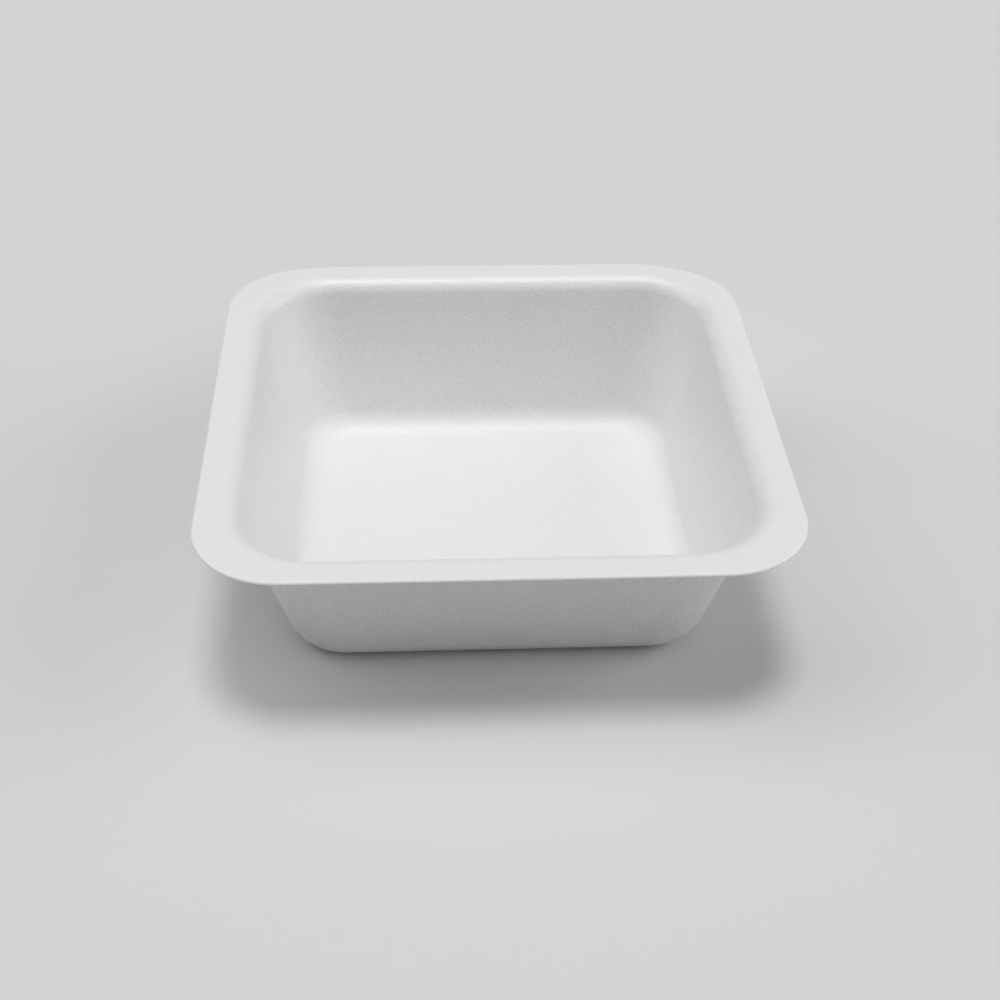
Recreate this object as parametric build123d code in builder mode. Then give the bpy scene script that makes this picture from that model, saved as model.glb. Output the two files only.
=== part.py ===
"""Square weighing dish, thermoformed from one sheet of white polystyrene.

The sheet is clamped flat, drawn down into a tapered square well and then die-cut
round the flange.  The flange keeps the sheet's own gauge, and the walls and the
floor are drawn thinner.  Nothing is joined to it: the dish is one piece.

Frame: +Z up, origin at the centre of the floor's underside, sides along X and Y.
Millimetres.
"""

from build123d import *

import os
from math import cos, radians, tan

# Overall
rim_width = 80.0  # across the flange, the same both ways
overall_height = 24.0  # floor's underside to the flange's top face
rim_corner_radius = 11.8  # die-cut corner of the flange

# The sheet
flange_gauge = 0.38  # the sheet as supplied, undrawn
wall_gauge = 0.20  # drawn wall
floor_gauge = 0.24  # drawn floor

# The well, measured on the face that holds the sample
flange_land = 3.1  # flat flange, from the die-cut edge to the start of the bend
wall_draft = 15.5  # degrees that each wall leans out from upright
mouth_corner_radius = 10.6  # plan radius of the corners where wall meets flange
floor_corner_radius = 7.5  # plan radius of the corners where wall meets floor
rim_bend_radius = 2.8  # flange into wall
floor_bend_radius = 4.5  # wall into floor

# Die-cut edge
cut_roll = 0.12  # rounding that the cutting die leaves on the flange's top edge

# How far the forming plug stands past the flange, on every side and above it
plug_overhang = 5.0

# Derived places
lean = tan(radians(wall_draft))
wall_run = wall_gauge / cos(radians(wall_draft))  # wall gauge measured level
rim_bend_setback = rim_bend_radius * tan(radians((90 - wall_draft) / 2))
mouth_width = rim_width - 2 * (flange_land + rim_bend_setback)
inner_depth = overall_height - floor_gauge
floor_width = mouth_width - 2 * inner_depth * lean
flange_underside = overall_height - flange_gauge


def well_square(height, face_offset):
    """Width and corner radius of the well at a height, before its bends.

    face_offset is how far the face lies outside the one that holds the sample.
    """
    rise = height - floor_gauge
    width = floor_width + 2 * (rise * lean + face_offset)
    corner_growth = (mouth_corner_radius - floor_corner_radius) * rise / inner_depth
    return width, floor_corner_radius + corner_growth + face_offset


def pressed_form(bottom, shoulder, face_offset, plate, bends):
    """One face of the pressed sheet as a solid: a tapered well hung under a flat plate.

    The well runs from bottom up to shoulder, where the plate's underside is.
    plate is its width, corner radius and thickness.  bends are the radii from
    wall into floor and from wall into plate.
    """
    plate_width, plate_radius, plate_thickness = plate
    floor_bend, rim_bend = bends
    with BuildPart() as form:
        for height in (bottom, shoulder):
            with BuildSketch(Plane.XY.offset(height)):
                width, corner_radius = well_square(height, face_offset)
                RectangleRounded(width, width, corner_radius)
        loft(ruled=True)
        well_bottom = form.faces().sort_by(Axis.Z)[0]
        fillet(well_bottom.edges(), floor_bend)
        with BuildSketch(Plane.XY.offset(shoulder)):
            RectangleRounded(plate_width, plate_width, plate_radius)
        extrude(amount=plate_thickness)
        plate_underside = form.faces().filter_by(Axis.Z).group_by(Axis.Z)[1].sort_by(SortBy.AREA)[-1]
        fillet(plate_underside.inner_wires()[0].edges(), rim_bend)
    return form.part


# The face that the vacuum mould shapes: the flange's underside and the well's outside
mould_face = pressed_form(
    bottom=0,
    shoulder=flange_underside,
    face_offset=wall_run,
    plate=(rim_width, rim_corner_radius, flange_gauge),
    bends=(floor_bend_radius + floor_gauge, rim_bend_radius - flange_gauge),
)

# The face that holds the sample, as a plug that is taken out of the first form
sample_face = pressed_form(
    bottom=floor_gauge,
    shoulder=overall_height,
    face_offset=0,
    plate=(rim_width + 2 * plug_overhang, rim_corner_radius + plug_overhang, plug_overhang),
    bends=(floor_bend_radius, rim_bend_radius),
)

with BuildPart() as dish:
    add(mould_face)
    add(sample_face, mode=Mode.SUBTRACT)
    flange_top = dish.faces().filter_by(Axis.Z).sort_by(Axis.Z)[-1]
    fillet(flange_top.outer_wire().edges(), cut_roll)

dish.part.label = "dish"
os.makedirs("parts", exist_ok=True)
export_step(dish.part, "parts/dish.step")
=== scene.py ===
"""The look of a square weighing dish, formed from one sheet of white polystyrene.

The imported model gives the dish's width and height.  The sheet is modelled again
here from rounded squares, one for each station of its section, with the faint
swell and hanging corners of a formed sheet, the rolled edge that the cutting die
leaves, and the satin, finely grained finish of the plastic.

Metres, +Z up, origin at the centre of the floor's underside.
"""

from math import cos, pi, radians, sin, tan

import bmesh
import bpy
from mathutils import Matrix, Vector, noise


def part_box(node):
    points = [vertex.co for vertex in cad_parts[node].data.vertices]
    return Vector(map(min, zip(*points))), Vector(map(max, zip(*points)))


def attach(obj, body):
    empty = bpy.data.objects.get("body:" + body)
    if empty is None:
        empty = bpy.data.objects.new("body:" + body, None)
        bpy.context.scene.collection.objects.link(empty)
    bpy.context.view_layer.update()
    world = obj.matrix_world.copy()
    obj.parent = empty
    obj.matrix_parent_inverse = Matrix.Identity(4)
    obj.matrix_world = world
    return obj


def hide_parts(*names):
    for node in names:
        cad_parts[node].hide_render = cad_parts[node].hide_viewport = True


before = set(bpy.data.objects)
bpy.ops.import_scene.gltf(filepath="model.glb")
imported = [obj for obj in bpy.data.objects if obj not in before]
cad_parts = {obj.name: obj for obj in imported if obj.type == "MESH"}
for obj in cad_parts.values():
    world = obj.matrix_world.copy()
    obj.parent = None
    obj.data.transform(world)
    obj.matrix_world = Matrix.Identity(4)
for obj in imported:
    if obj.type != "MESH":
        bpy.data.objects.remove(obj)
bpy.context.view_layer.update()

MM = 0.001

# ---------------------------------------------------------------- sizes
dish_low, dish_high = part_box("dish")
RIM_HALF = (dish_high.x - dish_low.x) / 2
HEIGHT = dish_high.z

FLANGE_GAUGE = 0.38 * MM
WALL_GAUGE = 0.20 * MM
FLOOR_GAUGE = 0.24 * MM

FLANGE_LAND = 3.1 * MM
RIM_CORNER = 11.8 * MM
MOUTH_CORNER = 10.6 * MM
FLOOR_CORNER = 7.5 * MM
DRAFT = radians(15.5)
RIM_BEND = 2.8 * MM
FLOOR_BEND = 4.5 * MM
# How far in, and how far down or up, each edge of the cut is rounded
TOP_ROLL = (0.38 * MM, 0.30 * MM)  # rolled over by the cutting die
BOTTOM_ROLL = (0.03 * MM, 0.03 * MM)  # nearly sharp
CUT_REACH = 0.45 * MM  # how far in from the outline the cut's matt finish goes

# How finely the sheet is divided
CORNER_STEPS = 14
SIDE_CUTS = 15
BEND_STEPS = 12
WALL_STEPS = 14
LAND_STEPS = 5
ROLL_TURNS = (0, 15, 30, 45, 60, 75, 90)  # degrees
FLOOR_SHARES = (0.2, 0.38, 0.54, 0.68, 0.8, 0.9, 0.97)  # of the way to the floor's bend
STACK_STEP = 5 * MM  # from square to square while they are bridged

# How far the formed sheet departs from the true form
SWELL = 0.10 * MM  # most that the sheet wanders
SWELL_LENGTH = 34 * MM  # distance over which it does
SWELL_SHIFTS = (Vector((0, 0, 0)), Vector((40, 0, 0)), Vector((0, 40, 0)))  # for X, Y and Z
SWELL_FREE = 3.0 * MM  # height above the bench at which the swell is whole
FLOOR_CROWN = 0.12 * MM  # rise of the floor's middle
CORNER_DROPS = {(1, 1): 0.8 * MM, (-1, 1): 0.35 * MM}  # by the signs of X and Y
# Where a corner starts to hang and where it hangs in full: |X| + |Y| over half the width
DROP_START = 1.6
DROP_END = 1.83

# The plastic's finish, and the painted shade on its flange
GRAIN_SCALE = 4000  # per metre
GRAIN_RELIEF = 0.10 * MM
CLOUD_SCALE = 90  # per metre
# How far below the flange's face the grain starts to deepen and the flange's painted shade starts
# to fade, and where the grain is deepest and the painted shade is gone
GRAIN_GROWS_PAINTED_SHADE_FADES = 0.6 * MM
GRAIN_FULL_PAINTED_SHADE_GONE = 2.6 * MM
FLANGE_GRAIN_AND_PAINTED_SHADE = 0.65  # depth of the grain on the flange, against 1 in the well; it also makes the flange's colour darker than the well's, as painted shade
MOULD_GRAIN = 1.2  # share by which it is deeper on the side that lay on the mould

# Where the camera stands
CAMERA_AZIMUTH = radians(-3.4)
CAMERA_ELEVATION = radians(37.1)
CAMERA_ROLL = radians(1.0)
CAMERA_DISTANCE = 5.24 * RIM_HALF
CAMERA_LENS = 57.3  # millimetres
CAMERA_SENSOR = 36  # millimetres
CAMERA_NEAR = 0.01  # nothing nearer is shown
CAMERA_TARGET = Vector((0, -0.5956 * RIM_HALF, HEIGHT))

# Wide, soft lamps far away: name, azimuth from the front towards +X, elevation and
# spread in degrees, and the light that each lays on a surface turned to it
LAMPS = (
    ("overhead", 0, 90, 18, 0.370),
    ("back_left", 240, 70, 45, 0.195),
    ("left", 262, 36, 45, 0.215),
    ("right", 90, 28, 45, 0.303),
    ("front_right", 30, 45, 40, 0.140),
)
WORLD_LIGHT = 0.03  # strength as a light
WORLD_SEEN = (0.655, 0.645, 0.648, 1)  # as the lit bench looks, so that no horizon shows
BENCH_COLOUR = (0.69, 0.678, 0.682, 1)
BENCH_HALF = 2.0
BENCH_GAP = 0.02 * MM  # keeps the bench's face and the floor's underside apart


# ---------------------------------------------------------------- the formed sheet
class Face:
    """One face of the sheet's section: where its floor, wall and flange lie."""

    def __init__(self, floor_level, flange_level, wall_offset, floor_bend, rim_bend):
        self.floor_level = floor_level
        self.flange_level = flange_level
        self.wall_offset = wall_offset
        self.floor_bend = floor_bend
        self.rim_bend = rim_bend

    def wall(self, level):
        """Half width and corner radius of the wall at a height, before its bends."""
        rise = level - FLOOR_GAUGE
        half = FLOOR_HALF + rise * tan(DRAFT) + self.wall_offset
        corner = FLOOR_CORNER + (MOUTH_CORNER - FLOOR_CORNER) * rise / DEPTH + self.wall_offset
        return half, corner

    def station(self, half, level):
        """The rounded square of that half width, with its corners parallel to the wall's."""
        wall_half, wall_corner = self.wall(level)
        return half, wall_corner + half - wall_half, level

    def floor_arc(self):
        """Stations of the bend from floor to wall."""
        foot_half, _ = self.wall(self.floor_level)
        centre = foot_half - self.floor_bend * BEND_SETBACK
        for turn in BEND_TURNS:
            half = centre + self.floor_bend * sin(turn)
            yield self.station(half, self.floor_level + self.floor_bend * (1 - cos(turn)))

    def rim_arc(self):
        """Stations of the bend from wall to flange."""
        mouth_half, _ = self.wall(self.flange_level)
        centre = mouth_half + self.rim_bend * BEND_SETBACK
        for turn in reversed(BEND_TURNS):
            half = centre - self.rim_bend * sin(turn)
            yield self.station(half, self.flange_level - self.rim_bend * (1 - cos(turn)))

    def stations(self, edge):
        """Stations from the middle of the floor to the edge station."""
        floor_arc, rim_arc = list(self.floor_arc()), list(self.rim_arc())
        half, corner, level = floor_arc[0]
        floor = [(half * share, corner * share, level) for share in FLOOR_SHARES]
        wall = between(floor_arc[-1], rim_arc[0], WALL_STEPS)
        land = between(rim_arc[-1], edge, LAND_STEPS)
        return [*floor, *floor_arc, *wall, *rim_arc, *land]


def between(start, end, steps):
    """Stations evenly spaced between two others."""
    for step in range(1, steps):
        share = step / steps
        yield tuple(a + (b - a) * share for a, b in zip(start, end))


def rolled_edge(level, roll, inwards):
    """Stations round one edge of the cut, from the flange's face out to the cut."""
    width, depth = roll
    for turn in ROLL_TURNS:
        inset = width * (1 - sin(radians(turn)))
        fall = depth * (1 - cos(radians(turn)))
        yield RIM_HALF - inset, RIM_CORNER - inset, level + inwards * fall


BEND_ANGLE = pi / 2 - DRAFT
BEND_SETBACK = tan(BEND_ANGLE / 2)  # for a bend of radius 1
BEND_TURNS = [BEND_ANGLE * step / BEND_STEPS for step in range(BEND_STEPS + 1)]
DEPTH = HEIGHT - FLOOR_GAUGE
FLOOR_HALF = RIM_HALF - FLANGE_LAND - RIM_BEND * BEND_SETBACK - DEPTH * tan(DRAFT)


def section():
    """Stations of the whole closed section, from the floor's top to its underside."""
    sample_face = Face(FLOOR_GAUGE, HEIGHT, 0, FLOOR_BEND, RIM_BEND)
    flange_underside = HEIGHT - FLANGE_GAUGE
    mould_face = Face(
        0, flange_underside, WALL_GAUGE / cos(DRAFT),
        FLOOR_BEND + FLOOR_GAUGE, RIM_BEND - FLANGE_GAUGE,
    )
    top_roll = list(rolled_edge(HEIGHT, TOP_ROLL, inwards=-1))
    bottom_roll = list(rolled_edge(flange_underside, BOTTOM_ROLL, inwards=1))
    above = sample_face.stations(edge=top_roll[0])
    below = mould_face.stations(edge=bottom_roll[0])
    return [*above, *top_roll, *reversed(bottom_roll), *reversed(below)]


def rounded_square(bm, half, corner, level):
    """Adds a rounded square with divided sides and returns its face."""
    place = Matrix.Translation((0, 0, level))
    square = bmesh.ops.create_grid(bm, x_segments=1, y_segments=1, size=half, matrix=place)
    bevelled = bmesh.ops.bevel(
        bm, geom=square["verts"], offset=corner, offset_type="OFFSET", segments=CORNER_STEPS,
        profile=0.5, affect="VERTICES", material=-1,
    )
    face = bevelled["verts"][0].link_faces[0]
    sides = sorted(face.edges, key=lambda edge: edge.calc_length())[-4:]
    bmesh.ops.subdivide_edges(bm, edges=sides, cuts=SIDE_CUTS)
    return face


def formed_sheet():
    """The dish as one closed sheet, bridged from each station of its section to the next.

    The squares are bridged as a tall stack, because loops that lie in one plane
    can be joined askew, and then each is brought to its own level.
    """
    bm = bmesh.new()
    stations = section()
    faces = [
        rounded_square(bm, half, corner, STACK_STEP * index)
        for index, (half, corner, _) in enumerate(stations)
    ]
    loops = [list(face.edges) for face in faces]
    rings = [list(face.verts) for face in faces]
    bmesh.ops.delete(bm, geom=faces[1:-1], context="FACES_ONLY")
    for inner, outer in zip(loops, loops[1:]):
        bmesh.ops.bridge_loops(bm, edges=inner + outer)
    for ring, (_, _, level) in zip(rings, stations):
        for vert in ring:
            vert.co.z = level
    bm.normal_update()
    bmesh.ops.recalc_face_normals(bm, faces=bm.faces)
    for vert in bm.verts:
        vert.co += wander(vert.co)
    for face in bm.faces:
        face.smooth = True
    return bm


def wander(place):
    """How far the sheet departs from its true form at a place."""
    freedom = min(1, max(0, place.z / SWELL_FREE))
    drift = Vector([noise.noise(place / SWELL_LENGTH + shift) for shift in SWELL_SHIFTS])
    swell = drift * SWELL * freedom
    from_middle = min(1, place.xy.length / FLOOR_HALF)
    on_floor = max(0, 1 - place.z / SWELL_FREE)
    crown = FLOOR_CROWN * on_floor * (1 - from_middle ** 2) ** 2
    return swell + Vector((0, 0, crown - droop(place)))


def droop(place):
    """How far a corner of the flange hangs down at a place."""
    corner = (1 if place.x > 0 else -1, 1 if place.y > 0 else -1)
    towards_corner = (abs(place.x) + abs(place.y)) / RIM_HALF
    reach = min(1, max(0, (towards_corner - DROP_START) / (DROP_END - DROP_START)))
    eased = reach ** 2 * (3 - 2 * reach)
    return CORNER_DROPS.get(corner, 0) * eased * (place.z / HEIGHT) ** 2


# ---------------------------------------------------------------- finishes
class Value:
    """One output of a shader node, so that finishes can be written as sums."""

    def __init__(self, finish, node, output):
        self.finish = finish
        self.node = node
        self.output = output

    def maths(self, operation, other):
        return self.finish.node("ShaderNodeMath", {"operation": operation}, self, other)

    def __add__(self, other):
        return self.maths("ADD", other)

    def __mul__(self, other):
        return self.maths("MULTIPLY", other)

    __radd__ = __add__
    __rmul__ = __mul__


class Finish:
    """The shader tree of a material or a world."""

    def __init__(self, owner):
        owner.use_nodes = True
        self.tree = owner.node_tree
        self.tree.nodes.clear()

    def node(self, kind, settings=None, *values, output=0, **named):
        """A node with its settings and the values or links of its sockets, as one output."""
        made = self.tree.nodes.new(kind)
        for name, value in (settings or {}).items():
            setattr(made, name, value)
        for key, value in [*enumerate(values), *named.items()]:
            socket = made.inputs[key.replace("_", " ") if isinstance(key, str) else key]
            if isinstance(value, Value):
                self.tree.links.new(value.node.outputs[value.output], socket)
            else:
                socket.default_value = value
        return Value(self, made, output)

    def noise(self, place, scale):
        return self.node("ShaderNodeTexNoise", None, Vector=place, Scale=scale)


def cut_edge(finish, place):
    """1 on the flange's cut edge, which is matt, and 0 on the formed skin."""
    corner_centre = RIM_HALF - RIM_CORNER
    clear_of_height = (corner_centre, corner_centre, HEIGHT)
    across = finish.node("ShaderNodeVectorMath", {"operation": "ABSOLUTE"}, place)
    beyond = finish.node("ShaderNodeVectorMath", {"operation": "SUBTRACT"}, across, clear_of_height)
    outward = finish.node("ShaderNodeVectorMath", {"operation": "MAXIMUM"}, beyond, (0, 0, 0))
    reach = finish.node("ShaderNodeVectorMath", {"operation": "LENGTH"}, outward, output="Value")
    return reach.maths("GREATER_THAN", RIM_CORNER - CUT_REACH)


def satin_polystyrene():
    """White impact polystyrene sheet: satin, with a fine grain and faint clouds.

    The grain is finest on the flange, which isn't drawn, and shows most on steep faces.
    The flange's colour is also a little darker than the well's. This is painted shade, so that
    the well looks more brightly lit than the flange.
    """
    material = bpy.data.materials.new("satin_polystyrene")
    finish = Finish(material)
    place = finish.node("ShaderNodeTexCoord", output="Object")
    facing = finish.node("ShaderNodeTexCoord", output="Normal")
    level = finish.node("ShaderNodeSeparateXYZ", None, place, output="Z")
    upward = finish.node("ShaderNodeSeparateXYZ", None, facing, output="Z")
    mould_side = upward.maths("LESS_THAN", -0.1)
    steep = (1 + -1 * upward).maths("MINIMUM", 1)
    # depth sets the grain's depth and also the flange's painted shade: low on the flange, 1 down in
    # the well
    depth = finish.node(
        "ShaderNodeMapRange", None, Value=level, From_Min=HEIGHT - GRAIN_GROWS_PAINTED_SHADE_FADES,
        From_Max=HEIGHT - GRAIN_FULL_PAINTED_SHADE_GONE, To_Min=FLANGE_GRAIN_AND_PAINTED_SHADE, To_Max=1.0,
    )
    grain = finish.noise(place, GRAIN_SCALE)
    clouds = finish.noise(place, CLOUD_SCALE)
    speckle = (0.14 + 0.20 * steep) * (grain + -0.5)
    # Painted shade: 0.08 * depth makes the flange's colour about 3% darker than the well's, so that
    # the well looks more brightly lit; clouds and speckle are the plastic's own tone
    shade = 0.733 + 0.08 * depth + 0.018 * clouds + speckle
    colour = finish.node("ShaderNodeCombineColor", None, shade, 1.001 * shade, 1.005 * shade)
    height = grain * depth * (1 + MOULD_GRAIN * mould_side)
    relief = finish.node("ShaderNodeBump", None, Strength=1.0, Distance=GRAIN_RELIEF, Height=height)
    sheet = finish.node(
        "ShaderNodeBsdfPrincipled", None, Base_Color=colour, Normal=relief, IOR=1.59,
        Roughness=0.29 + 0.06 * grain + 0.35 * cut_edge(finish, place),
    )
    finish.node("ShaderNodeOutputMaterial", None, sheet)
    return material


def pale_floor():
    material = bpy.data.materials.new("pale_floor")
    finish = Finish(material)
    floor = finish.node("ShaderNodeBsdfDiffuse", None, Color=BENCH_COLOUR)
    finish.node("ShaderNodeOutputMaterial", None, floor)
    return material


def studio_world():
    """Pale where it is looked at or reflected, and only a faint light on the dish."""
    world = bpy.data.worlds.new("studio")
    finish = Finish(world)
    to_camera, in_gloss, through_glass = [
        finish.node("ShaderNodeLightPath", output=ray)
        for ray in ("Is Camera Ray", "Is Glossy Ray", "Is Transmission Ray")
    ]
    looked_at = to_camera + in_gloss + through_glass
    light = finish.node("ShaderNodeBackground", None, (1, 1, 1, 1), WORLD_LIGHT)
    seen = finish.node("ShaderNodeBackground", None, WORLD_SEEN)
    studio = finish.node("ShaderNodeMixShader", None, looked_at, light, seen)
    finish.node("ShaderNodeOutputWorld", None, studio)
    return world


# ---------------------------------------------------------------- making
def mesh_object(name, bm, material):
    mesh = bpy.data.meshes.new(name)
    bm.to_mesh(mesh)
    bm.free()
    mesh.materials.append(material)
    made = bpy.data.objects.new(name, mesh)
    bpy.context.scene.collection.objects.link(made)
    return made


def make_dish():
    dish = mesh_object("formed_dish", formed_sheet(), satin_polystyrene())
    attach(dish, "root")
    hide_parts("dish")


def make_stage():
    bm = bmesh.new()
    place = Matrix.Translation((0, 0, -BENCH_GAP))
    bmesh.ops.create_grid(bm, x_segments=1, y_segments=1, size=BENCH_HALF, matrix=place)
    mesh_object("bench", bm, pale_floor())


def direction(azimuth, elevation):
    """The way to something at an azimuth from the front, towards +X, and an elevation."""
    return Vector((sin(azimuth) * cos(elevation), -cos(azimuth) * cos(elevation), sin(elevation)))


def make_lamp(name, azimuth, elevation, spread, light):
    data = bpy.data.lights.new(name, "SUN")
    data.energy, data.angle = pi * light, radians(spread)
    lamp = bpy.data.objects.new(name, data)
    away = direction(radians(azimuth), radians(elevation))
    lamp.rotation_euler = away.to_track_quat("Z", "Y").to_euler()
    bpy.context.scene.collection.objects.link(lamp)


def make_light():
    for lamp in LAMPS:
        make_lamp(*lamp)
    bpy.context.scene.world = studio_world()


def make_camera():
    """Looks down at the dish's front edge from the front and a little to the left."""
    back = direction(CAMERA_AZIMUTH, CAMERA_ELEVATION)
    level_right = Vector((cos(CAMERA_AZIMUTH), sin(CAMERA_AZIMUTH), 0))
    level_up = back.cross(level_right)
    right = level_right * cos(CAMERA_ROLL) + level_up * sin(CAMERA_ROLL)
    up = level_up * cos(CAMERA_ROLL) - level_right * sin(CAMERA_ROLL)
    data = bpy.data.cameras.new("camera")
    data.lens, data.sensor_width = CAMERA_LENS, CAMERA_SENSOR
    data.clip_start = CAMERA_NEAR
    camera = bpy.data.objects.new("camera", data)
    turn = Matrix((right, up, back)).transposed().to_4x4()
    camera.matrix_world = Matrix.Translation(CAMERA_TARGET + back * CAMERA_DISTANCE) @ turn
    bpy.context.scene.collection.objects.link(camera)
    bpy.context.scene.camera = camera


make_dish()
make_stage()
make_light()
make_camera()
bpy.context.scene.view_settings.view_transform = "Standard"
